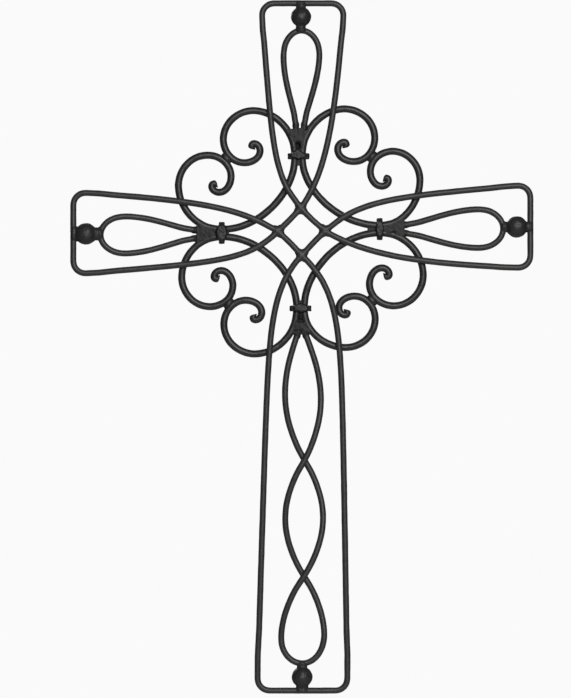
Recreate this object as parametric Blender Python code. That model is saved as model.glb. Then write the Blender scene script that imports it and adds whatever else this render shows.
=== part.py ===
# Wrought iron wall cross. Four round rods draw the outline of the cross and pass each other at the centre.
# Behind them lie four C scrolls, one in each corner, tied in pairs by four collars. Each arm is filled by a
# teardrop loop, or by a twisted pair in the long lower arm, and ends in a ball.
# Metres, +Z up, the front faces -Y. The origin is where the cross hangs: inside the top of the top loop.

import math
from collections import namedtuple

import bmesh
import bpy
from mathutils import Vector

# Size of the cross: from its centre to the middle of the end bars, and half the width of an arm's end
SHORT_ARM = 0.201
LONG_ARM = 0.404
END_HALF = 0.0375

# Rods, balls and the small gap kept between pieces that touch
OUTLINE_ROD = 0.0052
INNER_ROD = 0.0052
SCROLL_ROD = 0.0062
BALL = 0.018
GAP = 0.0003

# Centre of the cross: each crossing of two outline rods, and the notches that let them cross in one plane
CROSSING_OUT = 0.0213
NOTCH_REACH = 0.008
NOTCH_CLEARANCE = 0.0004

# Sides of an arm: half-width that their straight line has at the centre of the cross, how far out the bend
# to the crossing reaches, and the corners at the arm's end
SHOULDER = 0.026
EASE = 0.0325
CORNER_RADIUS = 0.0105

# Collars: a band round two scroll rods, with a lozenge boss in front and an ear at each side
COLLAR_OUT = 0.0683
BAND_WIDTH = 0.005
BAND_WALL = 0.002
EAR = 0.0029
BAND_ROUNDING = 0.0012
BOSS_HALF = 0.0045
BOSS_HEIGHT = 0.003
BOSS_TOP_SHARE = 0.25
BOSS_SINK = 0.0015

# Weld webs between the scroll rods, outside each collar
WEB_THICKNESS = 0.0044
WEB_TIP = 0.001
WEB_SEARCH = 0.00025

# Teardrop loops and the twisted pair
ROOT_HALF = 0.0037
ROOT_STRAIGHT = 0.0015
LOOP_HALF = 0.0165
LOOP_HEAD = 0.0206
LOOP_TAPER = 1.3
TWIST_HEAD = 0.0232
TWIST_LOBES = (0.0158, 0.0167)
TWIST_LENGTHS = (0.111, 0.102)
TWIST_BOW = (0.0, -0.0026, -0.0021)
TWIST_ROUNDNESS = 0.88

# Scrolls: width of the first quarter turn, half-axes across and along the arm for each one after it, and
# the small end curl
LOBE = 0.037
SPIRAL = ((0.027, 0.0253), (0.0185, 0.0209), (0.0141, 0.0105), (0.0052, 0.0065), (0.0036, 0.0036))
SPIRAL_STEPS = (5, 5, 5, 4, 3, 2)
FIRST_ROUNDNESS = 1.9
CURL_SWEEP = math.radians(70)
BACK_ROUNDNESS = 1.8
BACK_STEPS = 8

# Steps along the sides, corners and loops
SIDE_STEPS = 10
LONG_SIDE_STEPS = 13
SIDE_SPACING = 1.5
CORNER_STEPS = 4
TAIL_STEPS = 7
HEAD_STEPS = 4
TWIST_QUARTER_STEPS = 5
WEB_STEPS = 12
BALL_SEGMENTS = 16
BALL_RINGS = 10

# One side of an arm. end: half-width at the arm's end, shoulder: half-width that its straight line has at the
# centre, ease: how far out the bend to the crossing reaches, lobe: width of the scroll's first quarter turn,
# size: how large the rest of that scroll lobe is.
Side = namedtuple("Side", "end shoulder ease lobe size")

# One arm. Across is measured clockwise from the arm's middle line. meet: how far the two lobes of the next
# scroll touch off its diagonal.
Arm = namedtuple("Arm", "name quarter reach ball_across collar_out collar_across boss root_across "
                        "tip_across loop_half meet before after")

# The arms were bent and welded by hand, so each size has its own share, and the pieces lie off the middle
# line by a share of this offset.
OFFSET = 0.004

ARMS = (
    Arm(name="top", quarter="top_right", reach=0.999 * SHORT_ARM, ball_across=-0.12 * OFFSET,
        collar_out=0.974 * COLLAR_OUT, collar_across=-0.65 * OFFSET, boss=1.09 * BOSS_HALF,
        root_across=-0.33 * OFFSET, tip_across=0, loop_half=0.958 * LOOP_HALF, meet=1.02 * OFFSET,
        before=Side(end=0.947 * END_HALF, shoulder=0.846 * SHOULDER, ease=0.708 * EASE, lobe=0.978 * LOBE, size=1),
        after=Side(end=1.013 * END_HALF, shoulder=0.931 * SHOULDER, ease=1.2 * EASE, lobe=0.995 * LOBE, size=1.01)),
    Arm(name="right", quarter="bottom_right", reach=1.002 * SHORT_ARM, ball_across=-OFFSET,
        collar_out=1.009 * COLLAR_OUT, collar_across=-0.58 * OFFSET, boss=0.8 * BOSS_HALF,
        root_across=-0.6 * OFFSET, tip_across=-0.65 * OFFSET, loop_half=1.03 * LOOP_HALF, meet=0.42 * OFFSET,
        before=Side(end=1.101 * END_HALF, shoulder=SHOULDER, ease=0.831 * EASE, lobe=1.076 * LOBE, size=0.95),
        after=Side(end=0.885 * END_HALF, shoulder=1.146 * SHOULDER, ease=1.615 * EASE, lobe=0.992 * LOBE, size=1.03)),
    Arm(name="bottom", quarter="bottom_left", reach=LONG_ARM, ball_across=-0.15 * OFFSET,
        collar_out=0.99 * COLLAR_OUT, collar_across=0.22 * OFFSET, boss=BOSS_HALF,
        root_across=0, tip_across=-0.15 * OFFSET, loop_half=1.15 * LOOP_HALF, meet=-0.25 * OFFSET,
        before=Side(end=1.08 * END_HALF, shoulder=1.308 * SHOULDER, ease=0.892 * EASE, lobe=0.976 * LOBE, size=0.985),
        after=Side(end=1.04 * END_HALF, shoulder=1.038 * SHOULDER, ease=0.877 * EASE, lobe=0.989 * LOBE, size=1.03)),
    Arm(name="left", quarter="top_left", reach=0.999 * SHORT_ARM, ball_across=-0.52 * OFFSET,
        collar_out=1.029 * COLLAR_OUT, collar_across=-0.28 * OFFSET, boss=1.09 * BOSS_HALF,
        root_across=-0.55 * OFFSET, tip_across=-0.75 * OFFSET, loop_half=0.988 * LOOP_HALF, meet=0.35 * OFFSET,
        before=Side(end=1.005 * END_HALF, shoulder=0.885 * SHOULDER, ease=0.708 * EASE, lobe=0.954 * LOBE, size=0.98),
        after=Side(end=0.933 * END_HALF, shoulder=0.912 * SHOULDER, ease=1.185 * EASE, lobe=1.032 * LOBE, size=1.01)),
)

# Depths. The outline rods lie in the plane y = 0, the scrolls touch them from behind.
OUTLINE_RADIUS = OUTLINE_ROD / 2
INNER_RADIUS = INNER_ROD / 2
SCROLL_RADIUS = SCROLL_ROD / 2
SCROLL_DEPTH = OUTLINE_RADIUS + GAP + SCROLL_RADIUS
SCROLL_HALF_PITCH = SCROLL_RADIUS + GAP / 2
QUARTER_TURN = math.pi / 2


def ball_out(arm):
    # The ball touches the inside of the end bar.
    return arm.reach - OUTLINE_RADIUS - GAP - BALL / 2


def tip_out(arm):
    # The tip of the loop touches the ball from below.
    return ball_out(arm) - BALL / 2 - GAP - INNER_RADIUS


# The top loop hangs on the hook, so the origin is the inside of its tip.
CENTRE_HEIGHT = INNER_RADIUS - tip_out(ARMS[0])


def reset_scene():
    for old in list(bpy.data.objects):
        bpy.data.objects.remove(old)


def make_collection(name):
    collection = bpy.data.collections.new(name)
    bpy.context.scene.collection.children.link(collection)
    return collection


def make_material(name, shade, roughness, metallic):
    material = bpy.data.materials.new(name)
    material.use_nodes = True
    shader = material.node_tree.nodes["Principled BSDF"]
    shader.inputs["Base Color"].default_value = (shade, shade, shade, 1)
    shader.inputs["Roughness"].default_value = roughness
    shader.inputs["Metallic"].default_value = metallic
    return material


def add_object(name, data, collection, parent=None):
    obj = bpy.data.objects.new(name, data)
    collection.objects.link(obj)
    obj.parent = parent
    return obj


def rod(name, route, diameter, material, parent):
    # A round bar bent along the route, with flat cut ends.
    curve = bpy.data.curves.new(name, "CURVE")
    curve.dimensions = "3D"
    curve.bevel_depth = diameter / 2
    curve.bevel_resolution = 2
    curve.use_fill_caps = True
    spline = curve.splines.new("POLY")
    spline.points.add(len(route) - 1)
    for point, place in zip(spline.points, route):
        point.co = (*place, 1)
    curve.materials.append(material)
    return add_object(name, curve, PARTS, parent)


def plate(name, outline, depth, thickness, collection, parent):
    # A flat outline in the plane of the cross, thickened evenly to both sides of the given depth.
    curve = bpy.data.curves.new(name, "CURVE")
    curve.dimensions = "2D"
    curve.fill_mode = "BOTH"
    curve.extrude = thickness / 2
    spline = curve.splines.new("POLY")
    spline.points.add(len(outline) - 1)
    for point, (across, out) in zip(spline.points, outline):
        point.co = (across, out, 0, 1)
    spline.use_cyclic_u = True
    obj = add_object(name, curve, collection, parent)
    obj.location.y = depth
    obj.rotation_euler.x = QUARTER_TURN
    return obj


def as_mesh(obj):
    # A curve takes no cuts, so it is turned into a mesh in the same place, with its caps welded on.
    bpy.context.view_layer.update()
    evaluated = obj.evaluated_get(bpy.context.evaluated_depsgraph_get())
    mesh = bpy.data.meshes.new_from_object(evaluated)
    shell = bmesh.new()
    shell.from_mesh(mesh)
    bmesh.ops.remove_doubles(shell, verts=shell.verts, dist=1e-6)
    shell.to_mesh(mesh)
    shell.free()
    name = obj.name
    place = obj.matrix_world.copy()
    collection = obj.users_collection[0]
    bpy.data.objects.remove(obj)
    solid = add_object(name, mesh, collection)
    solid.matrix_world = place
    return solid


def mesh_object(name, shell, collection, parent):
    mesh = bpy.data.meshes.new(name)
    shell.to_mesh(mesh)
    shell.free()
    return add_object(name, mesh, collection, parent)


def box_shell(width, depth, height):
    shell = bmesh.new()
    bmesh.ops.create_cube(shell, size=1)
    bmesh.ops.scale(shell, vec=(width, depth, height), verts=shell.verts)
    return shell


def hide_tool(obj):
    obj.hide_render = True
    obj.display_type = "WIRE"


def combine(obj, tool, operation):
    boolean = obj.modifiers.new(operation.lower(), "BOOLEAN")
    boolean.operation = operation
    boolean.solver = "EXACT"
    boolean.object = tool
    hide_tool(tool)


def following(index):
    # The next arm clockwise.
    return ARMS[(index + 1) % len(ARMS)]


def side_half_width(arm, side, out):
    # A straight tapering line, pulled in to the crossing near the centre.
    share = (out - CROSSING_OUT) / (arm.reach - CROSSING_OUT)
    line = side.shoulder + (side.end - side.shoulder) * share
    return line - side.shoulder * math.exp((CROSSING_OUT - out) / side.ease)


def side_route(arm, side, sign):
    # From the crossing along one side of an arm, round the corner and back to the middle of the end bar.
    steps = LONG_SIDE_STEPS if arm.name == "bottom" else SIDE_STEPS
    corner_out = arm.reach - CORNER_RADIUS
    route = []
    for step in range(steps + 1):
        out = CROSSING_OUT + (corner_out - CROSSING_OUT) * (step / steps) ** SIDE_SPACING
        route.append((sign * side_half_width(arm, side, out), out))
    corner_half = side_half_width(arm, side, corner_out) - CORNER_RADIUS
    for step in range(1, CORNER_STEPS + 1):
        angle = QUARTER_TURN * step / CORNER_STEPS
        across = sign * (corner_half + CORNER_RADIUS * math.cos(angle))
        route.append((across, corner_out + CORNER_RADIUS * math.sin(angle)))
    route.append((arm.ball_across + sign * GAP / 2, arm.reach))
    return route


def outline_route(index):
    # In the first arm's frame: down the near side of one arm, through two crossings, up the next arm.
    arm = ARMS[index]
    onward = following(index)
    inward = side_route(arm, arm.before, -1)[::-1]
    outward = [(out, -across) for across, out in side_route(onward, onward.after, 1)]
    return inward + outward


def ribbon(route, half_width):
    # The outline of a strip that follows a short route.
    left = []
    right = []
    for index, (across, out) in enumerate(route):
        ahead = Vector(route[min(index + 1, len(route) - 1)])
        behind = Vector(route[max(index - 1, 0)])
        heading = (ahead - behind).normalized()
        left.append((across - heading.y * half_width, out + heading.x * half_width))
        right.append((across + heading.y * half_width, out - heading.x * half_width))
    return left + right[::-1]


def near_crossing(route, crossing):
    # The stretch of a route within reach of a crossing, cut to length at both ends.
    centre = Vector(crossing)
    index = min(range(len(route)), key=lambda place: (Vector(route[place]) - centre).length)
    stretch = [crossing]
    for step in (-1, 1):
        place = index
        spot = centre
        remaining = NOTCH_REACH
        while remaining > 0:
            place += step
            run = Vector(route[place]) - spot
            share = min(1, remaining / run.length)
            spot = spot + run * share
            remaining = remaining - run.length if share == 1 else 0
            stretch.insert(0 if step < 0 else len(stretch), tuple(spot))
    return stretch


def notch(name, route, crossing, front, parent):
    # The space that another rod needs at a crossing, in the front or the back half of this one.
    overshoot = 2 * OUTLINE_RADIUS
    thickness = overshoot + GAP / 2
    depth = GAP / 2 - thickness / 2
    strip = ribbon(near_crossing(route, crossing), OUTLINE_RADIUS + NOTCH_CLEARANCE)
    tool = plate(name, strip, depth if front else -depth, thickness, TOOLS, parent)
    return as_mesh(tool)


def turned(route):
    # A route given in the next arm's frame, read in this one's.
    return [(out, -across) for across, out in route]


def turned_back(route):
    # A route given in this arm's frame, read in the next one's.
    return [(-out, across) for across, out in route]


def build_outline_rod(index, frame):
    # In front at its first crossing and behind at its second, like its three fellows.
    arm = ARMS[index]
    route = outline_route(index)
    name = "outline_rod_" + arm.quarter
    bar = as_mesh(rod(name, [(x, 0, z) for x, z in route], OUTLINE_ROD, IRON["outline"], frame))
    first = (0, CROSSING_OUT)
    second = (CROSSING_OUT, 0)
    before = turned_back(outline_route(index - 1))
    after = turned(outline_route((index + 1) % len(ARMS)))
    combine(bar, notch("notch_back_" + arm.quarter, before, first, False, frame), "DIFFERENCE")
    combine(bar, notch("notch_front_" + arm.quarter, after, second, True, frame), "DIFFERENCE")
    bar.data.shade_smooth()
    bar.data.set_sharp_from_angle(angle=math.radians(50))


def collar_edge(arm, way):
    # The outer or inner edge of a collar. The scroll rods run straight through it.
    return arm.collar_out + way * BAND_WIDTH / 2


def lobe_quarters(arm, side, sign, meet):
    # The half-axes of a lobe's quarter turns. The first one reaches so far out that the lobe touches its
    # neighbour: both rest on one slanting line through the corner between the arms.
    spiral = [(across * side.size, out * side.size) for across, out in SPIRAL]
    (second_across, second_out), (third_across, third_out) = spiral[:2]
    start = sign * arm.collar_across + SCROLL_HALF_PITCH
    belly = start + side.lobe + second_across - third_across
    bulge = math.hypot(third_across, third_out) / math.sqrt(2)
    centre_out = belly + math.sqrt(2) * (bulge + SCROLL_HALF_PITCH) + meet
    first_out = centre_out + second_out - collar_edge(arm, 1)
    return [(side.lobe, first_out)] + spiral


def lobe_route(arm, side, sign, meet):
    # From the collar outwards and round in ever tighter quarter turns: distance from the arm's middle
    # line, and distance out along the arm.
    place = (sign * arm.collar_across + SCROLL_HALF_PITCH, collar_edge(arm, 1))
    route = [place]
    angle = math.pi
    quarters = lobe_quarters(arm, side, sign, meet)
    for number, (half_across, half_out) in enumerate(quarters):
        sweep = CURL_SWEEP if number == len(quarters) - 1 else QUARTER_TURN
        centre = (place[0] - half_across * math.cos(angle), place[1] - half_out * math.sin(angle))
        power = 1 if number else 2 / FIRST_ROUNDNESS
        for step in range(1, SPIRAL_STEPS[number] + 1):
            turn = angle - sweep * step / SPIRAL_STEPS[number]
            place = (centre[0] + half_across * rounded(math.cos(turn), power),
                     centre[1] + half_out * rounded(math.sin(turn), power))
            route.append(place)
        angle -= sweep
    return route


def rounded(value, power):
    # A power that keeps the sign, for ellipses that are flatter or fuller than round.
    return math.copysign(abs(value) ** power, value)


def back_route(arm, onward):
    # The bow of the C from one collar to the next, a little flatter than a quarter circle.
    start = (arm.collar_across + SCROLL_HALF_PITCH, collar_edge(arm, -1))
    finish = (collar_edge(onward, -1), SCROLL_HALF_PITCH - onward.collar_across)
    power = 2 / BACK_ROUNDNESS
    route = []
    for step in range(BACK_STEPS + 1):
        angle = QUARTER_TURN * step / BACK_STEPS
        across = finish[0] - (finish[0] - start[0]) * rounded(math.cos(angle), power)
        out = start[1] - (start[1] - finish[1]) * rounded(math.sin(angle), power)
        route.append((across, out))
    return route


def build_scroll(index, frame):
    arm = ARMS[index]
    onward = following(index)
    first = lobe_route(arm, arm.after, 1, arm.meet)[::-1]
    second = [(out, across) for across, out in lobe_route(onward, onward.before, -1, -arm.meet)]
    route = first + back_route(arm, onward) + second
    route = [(across, SCROLL_DEPTH, out) for across, out in route]
    rod("scroll_" + arm.quarter, route, SCROLL_ROD, IRON["scroll"], frame)


def rod_flank(route, level):
    # Where the surface of a scroll rod, and the gap beside it, lie at one level along the arm.
    index = next(place for place, spot in enumerate(route) if spot[1] > level)
    across, out = route[index - 1]
    next_across, next_out = route[index]
    slope = (next_across - across) / (next_out - out)
    return across + slope * (level - out) - (SCROLL_RADIUS + GAP) * math.hypot(1, slope)


def opening(index, level):
    # The free space between the two scroll rods of an arm: how far it reaches to each side.
    arm = ARMS[index]
    before = lobe_route(arm, arm.before, -1, -ARMS[index - 1].meet)
    after = lobe_route(arm, arm.after, 1, arm.meet)
    return rod_flank(before, level), rod_flank(after, level)


def web_out(index):
    # The web reaches out to where the scroll rods leave room for the loop's two legs between them.
    arm = ARMS[index]
    legs = ROOT_HALF + INNER_RADIUS
    level = collar_edge(arm, 1)
    before, after = opening(index, level)
    while before < legs - arm.root_across or after < legs + arm.root_across:
        level += WEB_SEARCH
        before, after = opening(index, level)
    return level


def loop_depth(arm, root, out):
    # The loop leans forward, from between the scroll rods to the plane of the outline.
    return SCROLL_DEPTH * (tip_out(arm) - out) / (tip_out(arm) - root)


def head_route(arm, root, half, head):
    # The round end of a loop: a half ellipse from one side over the tip to the other.
    route = []
    for step in range(-HEAD_STEPS, HEAD_STEPS + 1):
        angle = QUARTER_TURN * step / HEAD_STEPS
        out = tip_out(arm) - head * (1 - math.cos(angle))
        route.append((arm.tip_across + half * math.sin(angle), loop_depth(arm, root, out), out))
    return route


def build_loop(index, frame):
    # A hairpin of rod. Its legs curve in and end side by side against the weld web.
    arm = ARMS[index]
    root = web_out(index) + GAP
    widest = tip_out(arm) - LOOP_HEAD
    foot = root + ROOT_STRAIGHT
    legs = {-1: [], 1: []}
    for sign, leg in legs.items():
        for step in range(1, TAIL_STEPS + 1):
            share = step / TAIL_STEPS
            out = widest + (foot - widest) * share
            bulge = rounded(math.cos(QUARTER_TURN * share), LOOP_TAPER)
            half = ROOT_HALF + (arm.loop_half - ROOT_HALF) * bulge
            middle = arm.root_across + (arm.tip_across - arm.root_across) * (1 - share)
            leg.append((middle + sign * half, loop_depth(arm, root, out), out))
        leg.append((arm.root_across + sign * ROOT_HALF, leg[-1][1], root))
    route = legs[-1][::-1] + head_route(arm, root, arm.loop_half, LOOP_HEAD) + legs[1]
    rod("loop_" + arm.name, route, INNER_ROD, IRON["inner"], frame)


def between(value, stations, levels):
    # Straight-line interpolation.
    for low, high, first, second in zip(stations, stations[1:], levels, levels[1:]):
        if value <= high:
            return first + (second - first) * (value - low) / (high - low)
    return levels[-1]


def twist_strand(arm, root, sign):
    # One strand from the web to the widest place of the last lobe. It swings from side to side and passes
    # behind the other strand at the first crossing, in front of it at the second. The stations are the
    # root, then the widest places and crossings by turns, with the quarter turns of the swing at each.
    first_crossing = root + TWIST_LENGTHS[0]
    second_crossing = first_crossing + TWIST_LENGTHS[1]
    stations = (root + ROOT_STRAIGHT, (root + first_crossing) / 2, first_crossing,
                (first_crossing + second_crossing) / 2, second_crossing, tip_out(arm) - TWIST_HEAD)
    root_turn = -math.acos((ROOT_HALF / TWIST_LOBES[0]) ** (1 / TWIST_ROUNDNESS)) / QUARTER_TURN
    turns = (root_turn, 0, 1, 2, 3, 4)
    bow_stations = (root, first_crossing, second_crossing, tip_out(arm))
    lobes = (*TWIST_LOBES, arm.loop_half)
    sway = (INNER_ROD + GAP) / 2
    route = [(TWIST_BOW[0] + sign * ROOT_HALF, loop_depth(arm, root, root), root)]
    steps = TWIST_QUARTER_STEPS * (len(stations) - 1)
    for step in range(steps + 1):
        place = min(step // TWIST_QUARTER_STEPS, len(stations) - 2)
        share = step / TWIST_QUARTER_STEPS - place
        out = stations[place] + (stations[place + 1] - stations[place]) * share
        turn = (turns[place] + (turns[place + 1] - turns[place]) * share) * QUARTER_TURN
        middle = between(out, bow_stations, (*TWIST_BOW, arm.tip_across))
        swing = lobes[place // 2] * rounded(math.cos(turn), TWIST_ROUNDNESS)
        depth = loop_depth(arm, root, out) + sign * sway * math.sin(max(turn, 0))
        route.append((middle + sign * swing, depth, out))
    return route


def build_twist(index, frame):
    arm = ARMS[index]
    root = web_out(index) + GAP
    head = head_route(arm, root, arm.loop_half, TWIST_HEAD)[1:-1]
    route = twist_strand(arm, root, -1) + head + twist_strand(arm, root, 1)[::-1]
    rod("twist_" + arm.name, route, INNER_ROD, IRON["inner"], frame)


def build_ball(arm, frame):
    shell = bmesh.new()
    bmesh.ops.create_uvsphere(shell, u_segments=BALL_SEGMENTS, v_segments=BALL_RINGS, radius=BALL / 2)
    ball = mesh_object("ball_" + arm.name, shell, PARTS, frame)
    ball.location = (arm.ball_across, 0, ball_out(arm))
    ball.data.materials.append(IRON["ball"])
    ball.data.shade_smooth()


def build_collar(arm, frame):
    # A band bent round the two scroll rods, with a lozenge raised on its front face.
    place = Vector((arm.collar_across, SCROLL_DEPTH, arm.collar_out))
    hole_width = 2 * (SCROLL_RADIUS + SCROLL_HALF_PITCH + GAP)
    hole_depth = SCROLL_ROD + 2 * GAP
    width = hole_width + 2 * EAR
    shell = box_shell(width, hole_depth + 2 * BAND_WALL, BAND_WIDTH)
    upright = [edge for edge in shell.edges if abs(edge.verts[0].co.z - edge.verts[1].co.z) > GAP]
    bmesh.ops.bevel(shell, geom=upright, offset=BAND_ROUNDING, segments=2, profile=0.5, affect="EDGES")
    collar = mesh_object("collar_" + arm.name, shell, PARTS, frame)
    collar.location = place
    hole = mesh_object("hole_" + arm.name, box_shell(hole_width, hole_depth, 2 * BAND_WIDTH), TOOLS, frame)
    hole.location = place
    boss_depth = BOSS_SINK + BOSS_HEIGHT
    shell = bmesh.new()
    bmesh.ops.create_cone(shell, cap_ends=True, segments=4, radius1=1, radius2=BOSS_TOP_SHARE, depth=1)
    bmesh.ops.scale(shell, vec=(width / 2 - BAND_ROUNDING / 2, arm.boss, boss_depth), verts=shell.verts)
    boss = mesh_object("boss_" + arm.name, shell, TOOLS, frame)
    boss.rotation_euler.x = QUARTER_TURN
    front = hole_depth / 2 + BAND_WALL
    boss.location = place - Vector((0, front + BOSS_HEIGHT - boss_depth / 2, 0))
    combine(collar, hole, "DIFFERENCE")
    combine(collar, boss, "UNION")
    collar.data.materials.append(IRON["collar"])


def build_web(index, frame):
    # Weld metal that fills the wedge between two scroll rods and takes the ends of the loop.
    arm = ARMS[index]
    inner_end = collar_edge(arm, 1) + GAP
    outer_end = web_out(index)
    left = []
    right = []
    for step in range(WEB_STEPS + 1):
        level = inner_end + (outer_end - inner_end) * step / WEB_STEPS
        before, after = opening(index, level)
        if before + after > WEB_TIP:
            left.append((-before, level))
            right.append((after, level))
    web = plate("weld_web_" + arm.name, right + left[::-1], SCROLL_DEPTH, WEB_THICKNESS, PARTS, frame)
    web.data.materials.append(IRON["weld"])


def build_cross():
    for index, arm in enumerate(ARMS):
        frame = add_object("arm_" + arm.name, None, PARTS)
        frame.location.z = CENTRE_HEIGHT
        frame.rotation_euler.y = QUARTER_TURN * index
        build_outline_rod(index, frame)
        build_scroll(index, frame)
        if arm.name == "bottom":
            build_twist(index, frame)
        else:
            build_loop(index, frame)
        build_ball(arm, frame)
        build_collar(arm, frame)
        build_web(index, frame)


reset_scene()
PARTS = make_collection("wrought_iron_cross")
TOOLS = make_collection("cutters")
IRON = {
    "outline": make_material("outline_iron", 0.022, 0.5, 0.3),
    "scroll": make_material("scroll_iron", 0.024, 0.52, 0.3),
    "inner": make_material("inner_iron", 0.022, 0.5, 0.3),
    "ball": make_material("ball_iron", 0.022, 0.48, 0.3),
    "collar": make_material("collar_iron", 0.026, 0.55, 0.3),
    "weld": make_material("weld_metal", 0.025, 0.6, 0.3),
}
build_cross()
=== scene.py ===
# %% [markdown]
# # A wrought iron wall cross
# This notebook dresses the measured model of a wall cross. Four round bars draw its outline, four C scrolls
# sit in its corners, a loop fills each short arm and a twisted pair the long one. The measured model, or
# frame, has plain eight-sided bars with small gaps between them. The real cross is hammered round bar,
# welded and painted matte black, so we build each piece again in finer form, exactly where the frame has it.

import math

import bpy
from mathutils import Matrix, Vector
from mathutils.bvhtree import BVHTree


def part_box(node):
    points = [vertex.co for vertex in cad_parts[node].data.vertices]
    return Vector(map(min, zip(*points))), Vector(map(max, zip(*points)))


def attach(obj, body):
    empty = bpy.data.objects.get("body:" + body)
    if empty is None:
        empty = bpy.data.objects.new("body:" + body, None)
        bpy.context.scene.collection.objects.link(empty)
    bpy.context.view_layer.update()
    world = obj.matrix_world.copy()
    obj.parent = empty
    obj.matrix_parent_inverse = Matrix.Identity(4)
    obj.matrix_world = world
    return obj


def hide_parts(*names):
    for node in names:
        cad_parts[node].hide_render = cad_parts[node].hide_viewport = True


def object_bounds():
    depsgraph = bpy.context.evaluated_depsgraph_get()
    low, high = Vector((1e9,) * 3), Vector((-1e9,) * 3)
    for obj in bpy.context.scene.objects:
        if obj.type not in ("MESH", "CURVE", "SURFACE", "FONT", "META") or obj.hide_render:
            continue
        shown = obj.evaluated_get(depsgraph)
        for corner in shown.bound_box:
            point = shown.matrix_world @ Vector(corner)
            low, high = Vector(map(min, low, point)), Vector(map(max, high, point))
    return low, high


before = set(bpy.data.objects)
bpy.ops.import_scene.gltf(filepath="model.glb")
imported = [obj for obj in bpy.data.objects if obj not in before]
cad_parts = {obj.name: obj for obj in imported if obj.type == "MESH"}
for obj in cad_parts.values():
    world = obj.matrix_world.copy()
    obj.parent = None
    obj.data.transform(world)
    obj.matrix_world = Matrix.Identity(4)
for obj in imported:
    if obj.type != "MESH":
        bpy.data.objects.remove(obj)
cad_low, cad_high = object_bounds()
print("frame:", len(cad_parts), "pieces,", [round(side * 1000) for side in cad_high - cad_low], "mm")

# %% [markdown]
# ## Working as by hand
# Blender's operators act on whatever is selected. So before each operator we deselect everything, then
# select one object, or the faces and edges that we mean, by where they are. These helpers do that, and
# they are all that the rest of the notebook needs to model each piece the way a person would.

# %% Helpers for selecting
MERGE = 1e-5


def alone(obj):
    bpy.ops.object.select_all(action="DESELECT")
    obj.select_set(True)
    bpy.context.view_layer.objects.active = obj


def edit(obj, kind, wanted=None):
    """Enter edit mode with only the wanted faces, edges or points selected, or everything."""
    alone(obj)
    bpy.ops.object.mode_set(mode="EDIT")
    bpy.ops.mesh.select_mode(type=kind)
    bpy.ops.mesh.select_all(action="DESELECT" if wanted else "SELECT")
    if wanted:
        bpy.ops.object.mode_set(mode="OBJECT")
        mesh = obj.data
        items = {"FACE": mesh.polygons, "EDGE": mesh.edges, "VERT": mesh.vertices}[kind]
        for item in items:
            item.select = wanted(item)
        bpy.ops.object.mode_set(mode="EDIT")


def leave():
    bpy.ops.object.mode_set(mode="OBJECT")


def modify(obj, kind, **settings):
    """Add a modifier and apply it at once."""
    alone(obj)
    modifier = obj.modifiers.new(kind.lower(), kind)
    for name, value in settings.items():
        setattr(modifier, name, value)
    bpy.ops.object.modifier_apply(modifier=modifier.name)


def settle(obj, name, smooth=True):
    """Move an object's place and turn into its mesh, and name it."""
    alone(obj)
    bpy.ops.object.transform_apply(location=True, rotation=True, scale=True)
    obj.name = name
    obj.data.name = name
    if smooth:
        bpy.ops.object.shade_smooth()
    return obj


print("helpers ready")

# %% [markdown]
# ## Where things are
# Each arm has its own directions: across it, through it towards the wall, and out along it. Turning by
# quarter turns about the centre of the cross takes one arm to the next, clockwise, so a place or a shape
# that is worked out for the top arm can be carried to any other.

# %% Arms and places
CENTRE = Vector((0, 0, -0.1744))
ARMS = ("top", "right", "bottom", "left")
QUARTER_TURN = math.pi / 2
OUTLINE_RADIUS = 0.0026
SCROLL_RADIUS = 0.0031
SCROLL_DEPTH = 0.006


def turn_of(arm):
    return Matrix.Rotation(QUARTER_TURN * ARMS.index(arm), 4, "Y")


def spot(arm, across, depth, out):
    return turn_of(arm).to_3x3() @ Vector((across, depth, out)) + CENTRE


def seen_from(arm, place):
    """A place in the arm's own directions: across it, depth, and how far out along it."""
    return turn_of(arm).to_3x3().inverted() @ (place - CENTRE)


def heading_of(arm):
    """The direction from the centre of the cross out along the arm."""
    return turn_of(arm).to_3x3() @ Vector((0, 0, 1))


def along_arm(arm, across, depth, out):
    """Shares across, through and along an arm, in the order that scaling wants them."""
    return (across, depth, out) if arm in ("top", "bottom") else (out, depth, across)


def edge_heading(obj, edge):
    first, second = (obj.data.vertices[index].co for index in edge.vertices)
    return (second - first).normalized()


def middle(node):
    low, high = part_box(node)
    return (low + high) / 2


for arm in ARMS:
    print(arm, "ball at", [round(value * 1000, 1) for value in middle("ball_" + arm)])

# %% [markdown]
# ## Shared effects for the paint
# All the iron is painted with the same matte black, but the surface under the paint differs. Three effects
# come back in every material, so each is a node group that is built once: hammer marks are wide shallow
# dents, grain is the fine orange-peel of sprayed paint, and dust greys what faces up. A group only puts out
# values, and each material decides how much of them it wants.

# %% Node group helpers
GRAIN_SCALE = 2400
DUST_SCALE = 260
GROUPS = {}


def new_group(name, inputs, output):
    group = bpy.data.node_groups.new(name, "ShaderNodeTree")
    for socket, value in inputs.items():
        made = group.interface.new_socket(name=socket, in_out="INPUT", socket_type="NodeSocketFloat")
        made.default_value = value
    group.interface.new_socket(name=output, in_out="OUTPUT", socket_type="NodeSocketFloat")
    GROUPS[name] = group
    return group, group.nodes.new("NodeGroupInput"), group.nodes.new("NodeGroupOutput")


def math_node(nodes, links, operation, first, second, clamp=False):
    node = nodes.new("ShaderNodeMath")
    node.operation = operation
    node.use_clamp = clamp
    for socket, value in zip(node.inputs, (first, second)):
        if isinstance(value, (int, float)):
            socket.default_value = value
        else:
            links.new(value, socket)
    return node.outputs["Value"]


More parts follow.
